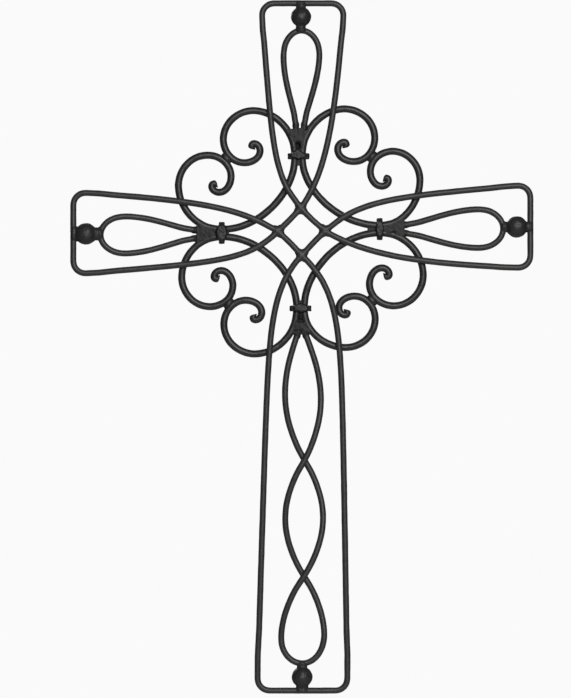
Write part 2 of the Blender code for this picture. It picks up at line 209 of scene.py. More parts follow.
# %% Hammer marks, grain and dust
group, inside, outside = new_group("hammer_marks", {"Scale": 160, "Sharpness": 0.5}, "Height")
place = group.nodes.new("ShaderNodeTexCoord")
dents = group.nodes.new("ShaderNodeTexVoronoi")
dents.feature = "SMOOTH_F1"
waves = group.nodes.new("ShaderNodeTexNoise")
waves.inputs["Detail"].default_value = 2
for node in (dents, waves):
    group.links.new(place.outputs["Object"], node.inputs["Vector"])
    group.links.new(inside.outputs["Scale"], node.inputs["Scale"])
cups = math_node(group.nodes, group.links, "MULTIPLY", dents.outputs["Distance"], inside.outputs["Sharpness"])
height = math_node(group.nodes, group.links, "ADD", cups, waves.outputs["Fac"])
group.links.new(height, outside.inputs["Height"])

group, inside, outside = new_group("paint_grain", {"Scale": GRAIN_SCALE, "Detail": 3}, "Value")
place = group.nodes.new("ShaderNodeTexCoord")
grain = group.nodes.new("ShaderNodeTexNoise")
grain.inputs["Roughness"].default_value = 0.6
group.links.new(place.outputs["Object"], grain.inputs["Vector"])
group.links.new(inside.outputs["Scale"], grain.inputs["Scale"])
group.links.new(inside.outputs["Detail"], grain.inputs["Detail"])
group.links.new(grain.outputs["Fac"], outside.inputs["Value"])

group, inside, outside = new_group("settled_dust", {"Scale": DUST_SCALE, "Amount": 0.3}, "Mask")
place = group.nodes.new("ShaderNodeTexCoord")
surface = group.nodes.new("ShaderNodeNewGeometry")
facing = group.nodes.new("ShaderNodeSeparateXYZ")
group.links.new(surface.outputs["Normal"], facing.inputs["Vector"])
patches = group.nodes.new("ShaderNodeTexNoise")
group.links.new(place.outputs["Object"], patches.inputs["Vector"])
group.links.new(inside.outputs["Scale"], patches.inputs["Scale"])
upward = math_node(group.nodes, group.links, "MAXIMUM", facing.outputs["Z"], 0)
patchy = math_node(group.nodes, group.links, "MULTIPLY", upward, patches.outputs["Fac"])
mask = math_node(group.nodes, group.links, "MULTIPLY", patchy, inside.outputs["Amount"], clamp=True)
group.links.new(mask, outside.inputs["Mask"])
print("groups:", sorted(GROUPS))

# %% [markdown]
# ## Matte black paint
# Matte black paint is not flat black: its colour wanders a little, it is duller where the coat is thin, and
# dents and grain break up its soft highlight. One function lays the three groups into a Principled shader,
# and each finish has its own values: bar drawn smooth, balls with flat hammer facets, rough weld metal. The
# weld metal round the collars shines least. The beads at the centre and between the scroll lobes are the
# same weld metal, painted lighter and shinier as a painted highlight for the light they catch standing free.

# %% One function for every paint
DUST = (0.16, 0.155, 0.15, 1)
DEEP_TINT = (0.72, 0.72, 0.74)
WORN_TINT = (1.35, 1.34, 1.3)
DULL_SWING = 0.24
FINISHES = {}


def tinted(shade, tint):
    return (*(shade * share for share in tint), 1)


def painted_iron(name, shade, roughness, shine, dent_scale, dent_depth, grain_depth, dust):
    material = bpy.data.materials.new(name)
    material.use_nodes = True
    nodes, links = material.node_tree.nodes, material.node_tree.links
    shader = nodes["Principled BSDF"]
    shader.inputs["Specular IOR Level"].default_value = shine
    made = {}
    scales = {"hammer_marks": dent_scale, "paint_grain": GRAIN_SCALE, "settled_dust": DUST_SCALE}
    for group_name, scale in scales.items():
        node = nodes.new("ShaderNodeGroup")
        node.node_tree = GROUPS[group_name]
        node.inputs["Scale"].default_value = scale
        made[group_name] = node
    made["settled_dust"].inputs["Amount"].default_value = dust
    grain_value = made["paint_grain"].outputs["Value"]
    dents_height = made["hammer_marks"].outputs["Height"]

    tone = nodes.new("ShaderNodeMix")
    tone.data_type = "RGBA"
    tone.inputs["A"].default_value = tinted(shade, DEEP_TINT)
    tone.inputs["B"].default_value = tinted(shade, WORN_TINT)
    links.new(dents_height, tone.inputs["Factor"])
    dusty = nodes.new("ShaderNodeMix")
    dusty.data_type = "RGBA"
    dusty.inputs["B"].default_value = DUST
    links.new(tone.outputs["Result"], dusty.inputs["A"])
    links.new(made["settled_dust"].outputs["Mask"], dusty.inputs["Factor"])
    links.new(dusty.outputs["Result"], shader.inputs["Base Color"])

    dull = math_node(nodes, links, "MULTIPLY", grain_value, DULL_SWING)
    rough = math_node(nodes, links, "ADD", dull, roughness - DULL_SWING / 2)
    links.new(rough, shader.inputs["Roughness"])
    dented = nodes.new("ShaderNodeBump")
    dented.inputs["Distance"].default_value = dent_depth
    links.new(dents_height, dented.inputs["Height"])
    grained = nodes.new("ShaderNodeBump")
    grained.inputs["Distance"].default_value = grain_depth
    links.new(grain_value, grained.inputs["Height"])
    links.new(dented.outputs["Normal"], grained.inputs["Normal"])
    links.new(grained.outputs["Normal"], shader.inputs["Normal"])
    FINISHES[name] = material


# %% The painted finishes
# Each row: shade, roughness, shine, scale and depth of the dents, depth of the grain, dust.
PAINTS = {
    "outline_iron": (0.022, 0.48, 0.48, 150, 0.0003, 0.00002, 0.1),
    "scroll_iron": (0.014, 0.44, 0.48, 130, 0.0004, 0.00003, 0.1),
    "inner_iron": (0.021, 0.46, 0.48, 150, 0.0003, 0.00002, 0.1),
    "ball_iron": (0.014, 0.50, 0.48, 130, 0.0009, 0.00003, 0.12),
    "collar_iron": (0.013, 0.50, 0.38, 220, 0.0005, 0.00004, 0.12),
    "weld_metal": (0.010, 0.55, 0.32, 320, 0.0006, 0.00006, 0.12),
    # The beads' row is the weld metal painted lighter and shinier: a painted highlight.
    "bead_metal_painted_lighter": (0.014, 0.48, 0.50, 240, 0.0004, 0.00004, 0.1),
}
for name, values in PAINTS.items():
    painted_iron(name, *values)
print("finishes:", sorted(FINISHES))

# %% [markdown]
# ## Handing a piece over
# A finished piece gets its paint, the pieces of the frame that it stands for are hidden, and it rides on the
# cross, which moves as one. The frame has no welds, so a weld stands for none of its pieces.

# %% One function for every finished piece


def finish(obj, slot, *nodes, paint=None):
    """Give a finished piece its paint, hide the frame's pieces that it stands for, and let it ride on the
    cross.
    """
    obj.data.materials.clear()
    obj.data.materials.append(FINISHES[paint or slot])
    if nodes:
        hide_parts(*nodes)
    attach(obj, "root")
    print(obj.name, len(obj.data.polygons), "faces")


# %% [markdown]
# ## Round bar
# The frame's bars have eight flat sides and straight runs between their stations. A real bar is round and
# bends smoothly. The frame's mesh is loose triangles, so a copy is merged and turned back into four-sided
# faces. The runs are cut in two along a curve and a Subdivision Surface rounds the bar. Displace first gives
# back the thickness that the smoothing takes, with a coat of paint on top, and then adds the shallow waves
# that a hammer leaves.

# %% Copy and round off a bar
LONGEST_RUN = 0.006
ROUNDING_LOSS = 0.0976
PAINT_COAT = 0.00012
OUTLINE_DENT = 0.00022
SCROLL_DENT = 0.0003
SIDEWAYS = 0.5
hammered = bpy.data.textures.new("hammered", "CLOUDS")
hammered.noise_scale = 0.009
hammered.noise_depth = 1
lumpy = bpy.data.textures.new("lumpy", "CLOUDS")
lumpy.noise_scale = 0.003
lumpy.noise_depth = 2


def bar_from(node, name):
    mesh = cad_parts[node].data.copy()
    obj = bpy.data.objects.new(name, mesh)
    bpy.context.collection.objects.link(obj)
    edit(obj, "VERT")
    bpy.ops.mesh.remove_doubles(threshold=MERGE)
    bpy.ops.mesh.customdata_custom_splitnormals_clear()
    bpy.ops.mesh.tris_convert_to_quads()
    leave()
    return obj


def edge_length(obj, edge):
    first, second = (obj.data.vertices[index].co for index in edge.vertices)
    return (first - second).length


def lies_along(obj, edge):
    """Whether an edge runs along the bar and doesn't end at one of its two end faces."""
    heading = edge_heading(obj, edge)
    return all(abs(obj.data.vertices[index].normal.dot(heading)) < SIDEWAYS for index in edge.vertices)


def cut_runs(obj, longest, smoothness):
    """Cut every run along the bar that is longer than this in two."""
    edit(obj, "EDGE", lambda edge: edge_length(obj, edge) > longest
         and (smoothness == 0 or lies_along(obj, edge)))
    bpy.ops.mesh.loop_multi_select(ring=True)
    bpy.ops.mesh.subdivide(number_cuts=1, smoothness=smoothness)
    leave()


def round_off(obj, radius, dent):
    cut_runs(obj, radius, 1)
    while any(edge_length(obj, edge) > LONGEST_RUN for edge in obj.data.edges):
        cut_runs(obj, LONGEST_RUN, 0)
    modify(obj, "SUBSURF", levels=2, render_levels=2)
    modify(obj, "DISPLACE", strength=radius * ROUNDING_LOSS + PAINT_COAT, mid_level=0)
    modify(obj, "DISPLACE", strength=dent, mid_level=0.5, texture=hammered, texture_coords="LOCAL")
    bpy.ops.object.shade_smooth()


# %% [markdown]
# ## The scrolls
# Each C scroll is one length of the thicker bar, and its ends are rolled up tight over the edge of the
# anvil. The frame cuts them off flat. We find the sharp rim of each end face and turn the face further in.
# Then we extrude it in four short steps, each turned on a little and smaller than the one before, so that
# the tip rolls on and ends blunt and round.

# %% Find the ends of a bar
RIM_ANGLE = math.radians(60)


def end_rims(obj):
    """The points round each end face of a bar, one set for each end."""
    edit(obj, "EDGE", lambda edge: False)
    bpy.ops.mesh.edges_select_sharp(sharpness=RIM_ANGLE)
    leave()
    chosen = {vert.index for vert in obj.data.vertices if vert.select}
    links = [set(edge.vertices) for edge in obj.data.edges if chosen.issuperset(edge.vertices)]
    rims = []
    while chosen:
        rim, grown = set(), {min(chosen)}
        while grown != rim:
            rim = grown
            grown = rim.union(*(link for link in links if link & rim))
        rims.append(rim)
        chosen -= rim
    return rims


def ring_centre(obj, ring):
    return sum((obj.data.vertices[index].co for index in ring), Vector()) / len(ring)


def next_ring(obj, ring, behind=()):
    """The points one station further along the bar."""
    near = {index for edge in obj.data.edges for index in edge.vertices if ring & set(edge.vertices)}
    return near - ring - set(behind)


# %% Build the four scrolls
CORNERS = ("top_right", "bottom_right", "bottom_left", "top_left")
TIP_TURN = math.radians(26)
# The length of each step, and what share of the face's size is left after it.
TIP_STEPS = ((0.0010, 0.93), (0.0009, 0.86), (0.0008, 0.78), (0.0005, 0.50))


def roll_tip(obj, rim):
    before = next_ring(obj, rim)
    end, hinge = ring_centre(obj, rim), ring_centre(obj, before)
    further = ring_centre(obj, next_ring(obj, before, rim))
    heading = end - hinge
    sense = 1 if (hinge - further).cross(heading).y > 0 else -1
    edit(obj, "VERT", lambda vert: vert.index in rim)
    bpy.ops.transform.rotate(value=-sense * TIP_TURN, orient_axis="Y", center_override=hinge)
    leave()
    turn = Matrix.Rotation(sense * TIP_TURN, 3, "Y")
    heading = (turn @ heading).normalized()
    end = ring_centre(obj, rim)
    edit(obj, "FACE", lambda face: set(face.vertices) <= rim)
    for length, share in TIP_STEPS:
        heading = turn @ heading
        end = end + heading * length
        bpy.ops.mesh.extrude_region_move(TRANSFORM_OT_translate={"value": heading * length})
        bpy.ops.transform.resize(value=(share, share, share), center_override=end)
    leave()


scrolls = {}
for corner in CORNERS:
    bar = bar_from("scroll_" + corner, "scroll_bar_" + corner)
    rims = end_rims(bar)
    print(corner, "ends with", [len(rim) for rim in rims], "points")
    for rim in rims:
        roll_tip(bar, rim)
    round_off(bar, SCROLL_RADIUS, SCROLL_DENT)
    finish(bar, "scroll_iron", "scroll_" + corner)
    scrolls[corner] = bar

# %% [markdown]
# ## The loops and the twisted pair
# These are hairpins of the thinner bar. Their two legs run straight into the weld metal between the scrolls.
# The frame's legs stop short of it and turn parallel there. So we cut off the last stretch of each leg and
# extrude its end straight on, past the place where it stopped, until the weld metal covers it.

# %% Cut a bar back by one station


def points_at(obj, places):
    """The points of a mesh that lie at the given places."""
    return {vert.index for vert in obj.data.vertices
            if any((vert.co - place).length < MERGE for place in places)}


def shorten(obj, rim):
    """Delete the end of a bar up to its next station, close it again and return its new rim."""
    places = [obj.data.vertices[index].co.copy() for index in next_ring(obj, rim)]
    edit(obj, "VERT", lambda vert: vert.index in rim)
    bpy.ops.mesh.delete(type="VERT")
    leave()
    rim = points_at(obj, places)
    edit(obj, "VERT", lambda vert: vert.index in rim)
    bpy.ops.mesh.edge_face_add()
    leave()
    return rim


# %% Build the loops and the twist
LEG_CUT = 0.005
LEG_SUNK = 0.006
leg_roots = {}
for arm in ARMS:
    node = "twist_bottom" if arm == "bottom" else "loop_" + arm
    bar = bar_from(node, node.replace("_", "_bar_"))
    ends = [[bar.data.vertices[index].co.copy() for index in rim] for rim in end_rims(bar)]
    for places in ends:
        rim = points_at(bar, places)
        root = ring_centre(bar, rim)
        leg_roots.setdefault(arm, []).append(root)
        while (ring_centre(bar, rim) - root).length < LEG_CUT:
            rim = shorten(bar, rim)
        onward = root - ring_centre(bar, rim)
        drawn = onward + onward.normalized() * LEG_SUNK
        edit(bar, "FACE", lambda face: set(face.vertices) <= rim)
        bpy.ops.mesh.extrude_region_move(TRANSFORM_OT_translate={"value": drawn})
        leave()
        print(node, "leg drawn on by", round(1000 * drawn.length, 1), "mm")
    round_off(bar, OUTLINE_RADIUS, OUTLINE_DENT)
    finish(bar, "inner_iron", node)

# %% [markdown]
# ## The outline bars
# In the frame, each outline bar has a notch at its two crossings, so that the solids don't overlap. On the
# real cross the bars are heated and welded into each other there. We cut the notched stretch out, extrude
# the bar's open end to both crossings in turn, and bridge it to the other side, so that the full round bar
# runs through. The welded crossings stand a little off their ideal places, as the photograph shows. Where
# the halves of an end bar meet, each bar is drawn out a little, and they close up.

# %% Take out the notches and draw a bar on
CROSSING_OUT = 0.0213
# How far each crossing lies across and out along its arm.
CROSSINGS = {"top": (-0.0007, 0.0206), "right": (-0.0006, 0.0208),
             "bottom": (-0.0002, 0.0209), "left": (0.0002, 0.0207)}
NOTCHED = 0.0045
NOTCH_REACH = 0.01


def crossing(arm):
    across, out = CROSSINGS[arm]
    return spot(arm, across, 0, out)


def near_slab(obj, face, point, heading):
    """Whether a face close to a crossing reaches into the slab that holds the notch."""
    corners = [obj.data.vertices[index].co - point for index in face.vertices]
    along = [corner.dot(heading) for corner in corners]
    aside = max((corner - heading * run).length for corner, run in zip(corners, along))
    return aside < NOTCH_REACH and min(along) < NOTCHED and max(along) > -NOTCHED


def open_ends(obj, heading):
    """The points of the two open ends, the one at the start of the heading first."""
    counts = {}
    for face in obj.data.polygons:
        for key in face.edge_keys:
            counts[key] = counts.get(key, 0) + 1
    ring = {index for key, count in counts.items() if count == 1 for index in key}
    runs = {index: (obj.data.vertices[index].co - CENTRE).dot(heading) for index in ring}
    return [{index for index in ring if runs[index] < 0}, {index for index in ring if runs[index] > 0}]


def stretch_to(obj, ring, point):
    """Extrude an open end so that its middle reaches a point."""
    edit(obj, "VERT", lambda vert: vert.index in ring)
    bpy.ops.mesh.extrude_region_move(TRANSFORM_OT_translate={"value": point - ring_centre(obj, ring)})
    leave()
    return {vert.index for vert in obj.data.vertices if vert.select}


# %% Build the four outline bars
outlines = {}
for index, corner in enumerate(CORNERS):
    arm, onward = ARMS[index], ARMS[(index + 1) % len(ARMS)]
    bar = bar_from("outline_rod_" + corner, "outline_bar_" + corner)
    notches = spot(arm, 0, 0, CROSSING_OUT), spot(onward, 0, 0, CROSSING_OUT)
    heading = (notches[1] - notches[0]).normalized()
    edit(bar, "FACE", lambda face: any(near_slab(bar, face, point, heading) for point in notches))
    bpy.ops.mesh.delete(type="FACE")
    leave()
    ring, far_ring = open_ends(bar, heading)
    print(corner, "open ends with", len(ring), "and", len(far_ring), "points")
    for name in (arm, onward):
        ring = stretch_to(bar, ring, crossing(name))
    ring, far_ring = open_ends(bar, heading)
    edit(bar, "VERT", lambda vert: vert.index in ring | far_ring)
    bpy.ops.mesh.bridge_edge_loops()
    bpy.ops.mesh.select_all(action="SELECT")
    bpy.ops.mesh.normals_make_consistent(inside=False)
    leave()
    outlines[corner] = bar

# %% Close up the end bars and round the outline off
END_OVERLAP = 0.0012
END_SPOTS = {arm: seen_from(arm, middle("ball_" + arm)).x for arm in ARMS}
END_CLOSE = 0.002
FURTHEST = 0.19
ALIGNED = 0.9


def faces_the_middle(arm, face):
    """Whether a face closes a bar's end, in the middle of this arm's end bar."""
    place = seen_from(arm, face.center)
    across = (turn_of(arm).to_3x3().inverted() @ face.normal).x
    return place.z > FURTHEST and abs(place.x - END_SPOTS[arm]) < END_CLOSE and abs(across) > ALIGNED


for corner, bar in outlines.items():
    for arm in ARMS:
        caps = [face for face in bar.data.polygons if faces_the_middle(arm, face)]
        if caps:
            towards = sum((face.normal for face in caps), Vector()).normalized()
            edit(bar, "FACE", lambda face: faces_the_middle(arm, face))
            bpy.ops.transform.translate(value=towards * END_OVERLAP)
            leave()
            print(corner, "drawn out on the", arm, "arm:", len(caps), "faces")
    round_off(bar, OUTLINE_RADIUS, OUTLINE_DENT)
    finish(bar, "outline_iron", "outline_rod_" + corner)

# %% [markdown]
# ## Metal that was once liquid
# Welds and hammered lumps have no crisp faces. So we build their rough form from simple parts, join those,
# and let a voxel remesh melt them into one skin. A few rounds of smoothing take the corners off, and a
# shallow noise makes the skin uneven.

# %% Helpers for melted metal


def melt(parts, name, voxel, rounds, unevenness):
    """Join the parts, melt them into one skin, smooth it for some rounds and roughen it."""
    bpy.ops.object.select_all(action="DESELECT")
    for part in parts:
        part.select_set(True)
    bpy.context.view_layer.objects.active = parts[0]
    if len(parts) > 1:
        bpy.ops.object.join()
    obj = settle(bpy.context.object, name)
    modify(obj, "REMESH", mode="VOXEL", voxel_size=voxel, use_smooth_shade=True)
    modify(obj, "SMOOTH", factor=0.5, iterations=rounds)
    modify(obj, "DISPLACE", strength=unevenness, mid_level=0.5, texture=lumpy, texture_coords="LOCAL")
    bpy.ops.object.shade_smooth()
    return obj


def sphere(name, segments, rings, radius=1, **settings):
    """A smooth sphere, or an ellipsoid, with its size, place and turn already in its mesh."""
    bpy.ops.object.select_all(action="DESELECT")
    bpy.ops.mesh.primitive_uv_sphere_add(segments=segments, ring_count=rings, radius=radius, **settings)
    return settle(bpy.context.object, name)


def block(arm, place, across, depth, out):
    """A block at a place, lined up with its arm."""
    bpy.ops.object.select_all(action="DESELECT")
    bpy.ops.mesh.primitive_cube_add(size=1, location=place, rotation=turn_of(arm).to_euler(),
                                    scale=(across, depth, out))
    return settle(bpy.context.object, "block", smooth=False)


def push(obj, arm, wanted, across, depth, out):
    """Move the chosen points, given in the arm's own directions."""
    edit(obj, "VERT", lambda vert: wanted(seen_from(arm, vert.co)))
    bpy.ops.transform.translate(value=turn_of(arm).to_3x3() @ Vector((across, depth, out)))
    leave()


# %% [markdown]
# ## The balls
# Each ball is forged by hand, so no two are quite the same size, and welded between the end bar and the tip
# of the loop. We start from a sphere whose poles lie along the arm, and extrude each cap three times into a
# short neck. The necks are the weld. They are wide across the arm and a little deeper than the bar, so that
# they close round it and narrow again. Melting ball and necks into one skin softens where they meet.

# %% Draw a neck out of a ball
# How far each step lies from the ball's middle, its width as a share of the cap's, and half its depth.
NECK_STEPS = ((0.0099, 1, 0.0037), (0.0119, 1.25, 0.0044), (0.0138, 0.9, 0.0031))


def draw_neck(ball, arm, place, way, cap):
    """Extrude one cap of a ball: way 1 looks out along the arm, way -1 looks in."""
    def in_cap(face):
        aside = seen_from(arm, face.center) - seen_from(arm, place)
        return aside.z * way > 0 and math.hypot(aside.x, aside.y) < cap

    axis = heading_of(arm) * way
    edit(ball, "FACE", in_cap)
    last_across, last_depth = 1, cap
    for level, across, depth in NECK_STEPS:
        share = along_arm(arm, across / last_across, depth / last_depth, 0)
        bpy.ops.mesh.extrude_region_move()
        bpy.ops.transform.resize(value=share, center_override=middle("ball_" + arm) + axis * level)
        last_across, last_depth = across, depth
    leave()


# %% Build the four balls
BALL_RADII = {"top": 0.0089, "right": 0.0095, "bottom": 0.0092, "left": 0.0096}
BALL_SHIFTS = {"top": 0, "right": 0, "bottom": 0, "left": 0.0007}
# Half the width of the caps that the outer and the inner neck grow from.
NECKS = {"top": (0.0045, 0.0041), "right": (0.0044, 0.0051),
         "bottom": (0.0055, 0.0049), "left": (0.0067, 0.0053)}
BALL_DENT = 0.0007
for arm in ARMS:
    place = middle("ball_" + arm) + heading_of(arm) * BALL_SHIFTS[arm]
    ball = sphere("forged_ball_" + arm, 32, 24, radius=BALL_RADII[arm], location=place,
                  rotation=turn_of(arm).to_euler())
    for way, cap in zip((1, -1), NECKS[arm]):
        draw_neck(ball, arm, place, way, cap)
    melt([ball], ball.name, voxel=0.0004, rounds=5, unevenness=0.0005)
    modify(ball, "DISPLACE", strength=BALL_DENT, mid_level=0.5, texture=hammered, texture_coords="LOCAL")
    finish(ball, "ball_iron", "ball_" + arm)

# %% [markdown]
# ## The collars
# A collar is a strap bent round two scroll bars while it was hot. Its ends lap in front and were hammered
# down to a lump, and its bends stand out as ears at both sides. The strap is a block with a hole bridged
# through it. The lump starts as a low cone with four to eight sides, because no two are hammered alike in
# the photograph, and at the top and at the bottom it leans a little to one side.

# %% Bend the strap
STRAP = Vector((0.0191, 0.0108, 0.005))
STRAP_WALL = 0.002
STRAP_BEND = 0.0024
HOLE_SHARE = 0.88


def collar_place(arm):
    """The middle of a collar, level with the scrolls."""
    place = middle("collar_" + arm)
    place.y = SCROLL_DEPTH
    return place


def bent_strap(arm):
    """A block with round edges and a hole through it, both along the arm."""
    place, heading = collar_place(arm), heading_of(arm)
    strap = block(arm, place, *STRAP)
    edit(strap, "EDGE", lambda edge: abs(edge_heading(strap, edge).dot(heading)) > ALIGNED)
    bpy.ops.mesh.bevel(offset=STRAP_BEND, segments=4, affect="EDGES")
    leave()
    edit(strap, "FACE", lambda face: abs(face.normal.dot(heading)) > ALIGNED)
    bpy.ops.mesh.inset(thickness=STRAP_WALL, depth=0)
    bpy.ops.transform.resize(value=along_arm(arm, HOLE_SHARE, 1, 1), center_override=place)
    bpy.ops.mesh.bridge_edge_loops()
    leave()
    return strap


# %% Hammer the lump and build the four collars
LUMP_HEIGHT = 0.0045
LUMP_FRONT = -0.0022
LUMP_TOP = 0.74
# Corners, half the width, how far the lump reaches outwards and inwards, and how far it leans.
LUMPS = {"top": (4, 0.0094, 0.0074, 0.0034, -0.0012), "right": (8, 0.0092, 0.0040, 0.0040, 0),
         "bottom": (6, 0.0084, 0.0042, 0.0050, -0.0006), "left": (8, 0.0090, 0.0060, 0.0056, 0)}
NUDGE = 0.0005


def hammered_lump(arm):
    """A low cone in front of the strap, with its own reach inwards and its outer half pushed aside."""
    place = collar_place(arm)
    corners, across, outward, inward, lean = LUMPS[arm]
    turned = turn_of(arm) @ Matrix.Rotation(QUARTER_TURN, 4, "X")
    bpy.ops.object.select_all(action="DESELECT")
    bpy.ops.mesh.primitive_cone_add(vertices=corners, radius1=1, radius2=LUMP_TOP, depth=1,
                                    location=(place.x, LUMP_FRONT + LUMP_HEIGHT / 2, place.z),
                                    rotation=turned.to_euler(), scale=(across, outward, LUMP_HEIGHT))
    lump = settle(bpy.context.object, "lump", smooth=False)
    level = seen_from(arm, place).z
    edit(lump, "VERT", lambda vert: seen_from(arm, vert.co).z < level - NUDGE)
    bpy.ops.transform.resize(value=along_arm(arm, 1, 1, inward / outward), center_override=place)
    leave()
    push(lump, arm, lambda here: here.z > level + NUDGE, lean, 0, 0)
    return lump


for arm in ARMS:
    parts = [bent_strap(arm), hammered_lump(arm)]
    collar = melt(parts, "strap_" + arm, voxel=0.00035, rounds=11, unevenness=0.0007)
    finish(collar, "collar_iron", "collar_" + arm)

# %% [markdown]
# ## The weld metal between the scrolls
# Outside each collar the wedge between the two scroll bars is filled with weld metal, flush with the bars,
# and it holds the two legs of the loop, with a swelling round each. A shorter fill closes the wedge on the
# collar's other side. The welder's last touches are left in it: four pits at the top, a single one on the
# right, and at the bottom a crater ring with a bead in it and a row of small pits. They are pressed in and
# drawn out by moving one small spot with proportional editing.

# %% Grow the frame's web
WEB_GROWTH = 0.0015
WEB_SPREAD = 0.0026
WEB_START = 0.0003
WEB_ENDS = {"top": 0.0935, "right": 0.0907, "bottom": 0.0904, "left": 0.0926}
# The top web lacks a corner: what lies beyond this place, across and out, drops back along the arm.
EDGE_CUT = (-0.0055, 0.0925)
EDGE_DROP = -0.005


def grown_web(arm):
    """The frame's web, grown to the bars, drawn in under the collar and straight at its outer edge."""
    web = bar_from("weld_web_" + arm, "web")
    first = min(seen_from(arm, vert.co).z for vert in web.data.vertices)
    edit(web, "VERT")
    bpy.ops.transform.shrink_fatten(value=WEB_GROWTH)
    leave()
    edit(web, "VERT", lambda vert: seen_from(arm, vert.co).z > WEB_ENDS[arm])
    bpy.ops.transform.resize(value=along_arm(arm, 1, 1, 0), center_override=spot(arm, 0, 0, WEB_ENDS[arm]))
    leave()
    collar = seen_from(arm, collar_place(arm))
    push(web, arm, lambda here: here.z < first + WEB_START, 0, 0, collar.z - first)
    if arm == "top":
        push(web, arm, lambda here: here.z > EDGE_CUT[1] and here.x < EDGE_CUT[0], 0, 0, EDGE_DROP)
    for way in (-1, 1):
        push(web, arm, lambda here: (here.x - collar.x) * way > 0, way * WEB_SPREAD, 0, 0)
    return web


# %% Fill the wedge on the collar's other side
FILL_WIDTH = 0.0075
FILL_DEPTH = 0.0042
FILL_TAPER = 0.5
FILLS = {"top": 0.0083, "right": 0.0108, "bottom": 0.0072, "left": 0.0066}


def inner_fill(arm):
    """A block through the collar, narrower towards the outer end of the arm."""
    place = collar_place(arm)
    level = seen_from(arm, place).z
    fill = block(arm, place, FILL_WIDTH, FILL_DEPTH, 2 * FILLS[arm])
    edit(fill, "VERT")
    bpy.ops.mesh.subdivide(number_cuts=2)
    leave()
    edit(fill, "VERT", lambda vert: seen_from(arm, vert.co).z > level)
    bpy.ops.transform.resize(value=along_arm(arm, FILL_TAPER, 1, 1), center_override=place)
    leave()
    return fill


# %% Pits and beads
PIT_CORE = 0.0005
BEAD_CORE = 0.0010
# Across and out along the arm, radius, and depth. A negative depth draws a bead out.
PITS = {
    "top": ((-0.0033, 0.0750, 0.0026, 0.003), (-0.0033, 0.0771, 0.0024, 0.003),
            (-0.0018, 0.0918, 0.0018, 0.0026), (0.0035, 0.0912, 0.0018, 0.0026)),
    "right": ((0.0012, 0.0813, 0.0019, 0.0013),),
    "bottom": ((0.0026, 0.0728, 0.0022, 0.0020), (-0.0014, 0.0728, 0.0022, 0.0020),
               (0.0023, 0.0782, 0.0020, 0.0020), (-0.0010, 0.0782, 0.0020, 0.0020),
               (0.0034, 0.0755, 0.0018, 0.0014), (-0.0022, 0.0755, 0.0018, 0.0014),
               (0.0006, 0.0756, 0.0009, -0.0012), (0.0052, 0.0872, 0.0011, 0.0009),
               (0.0037, 0.0876, 0.0011, 0.0009), (0.0021, 0.0877, 0.0011, 0.0009),
               (0.0006, 0.0875, 0.0010, 0.0008)),
    "left": (),
}


def press(metal, arm, across, out, radius, depth):
    """Move one small spot on the front of the weld metal, and what lies round it along with it."""
    core = PIT_CORE if depth > 0 else BEAD_CORE

    def on_front(place):
        return place.y < SCROLL_DEPTH and math.hypot(place.x - across, place.z - out) < core

    edit(metal, "VERT", lambda vert: on_front(seen_from(arm, vert.co)))
    bpy.ops.transform.translate(value=(0, depth, 0), use_proportional_edit=True,
                                proportional_edit_falloff="LINEAR", proportional_size=radius)
    leave()


# %% Build the four webs
SWELL = (0.0032, 0.0030, 0.0050)
for arm in ARMS:
    parts = [grown_web(arm), inner_fill(arm)]
    for root in leg_roots[arm]:
        parts.append(sphere("swell", 16, 12, scale=SWELL, location=root, rotation=turn_of(arm).to_euler()))
    metal = melt(parts, "web_weld_" + arm, voxel=0.0004, rounds=10, unevenness=0.0004)
    for pit in PITS[arm]:
        press(metal, arm, *pit)
    finish(metal, "weld_metal", "weld_web_" + arm)

# %% [markdown]
# ## The welds at the centre
# Where two outline bars cross, the smith filled the four corners between them. Two long ellipsoids, one
# along each bar, are drawn together on the outer side, where the bars turn into the arm, and melt into a body
# with soft corners. It is modelled once and copied to the other crossings.

# %% Build the crossing welds
WELD_HALF = Vector((0.0042, 0.0030, 0.0082))
WELD_WAIST = 0.86
DIAGONAL = QUARTER_TURN / 2


def copy_of(obj):
    alone(obj)
    bpy.ops.object.duplicate()
    return bpy.context.object


here = crossing("top")
lobes = []
for lean in (-1, 1):
    lobe = sphere("lobe", 24, 16, scale=WELD_HALF, location=here, rotation=(0, lean * DIAGONAL, 0))
    edit(lobe, "VERT", lambda vert: vert.co.z > here.z + NUDGE)
    bpy.ops.transform.resize(value=(WELD_WAIST, 1, 1), center_override=here)
    leave()
    lobes.append(lobe)
first_weld = melt(lobes, "crossing_weld_top", voxel=0.00035, rounds=14, unevenness=0.0003)
# The crossing welds wear the weld metal painted lighter and shinier, a painted highlight.
finish(first_weld, "weld_metal", paint="bead_metal_painted_lighter")
for arm in ARMS[1:]:
    weld = copy_of(first_weld)
    weld.matrix_world = Matrix.Translation(crossing(arm)) @ turn_of(arm) @ Matrix.Translation(-here)
    settle(weld, "crossing_weld_" + arm)
    finish(weld, "weld_metal", paint="bead_metal_painted_lighter")

# %% [markdown]
# ## The welds between the scroll lobes
# The two lobes of a scroll touch on the diagonal of its corner and are welded there. The bead fills the
# notch between them and stands a little proud of the bars. One with a soft, uneven skin is modelled and
# copied to the four corners.

# %% Build the lobe welds
BEAD_HALF = (0.0056, 0.0043, 0.0036)
# Place from side to side, height, and which way the bead leans.
LOBE_WELDS = {"top_left": (-0.0661, -0.1097, 1), "top_right": (0.0622, -0.1081, -1),
              "bottom_left": (-0.0642, -0.2376, -1), "bottom_right": (0.0622, -0.2349, 1)}


def discard(obj):
    alone(obj)
    bpy.ops.object.delete()


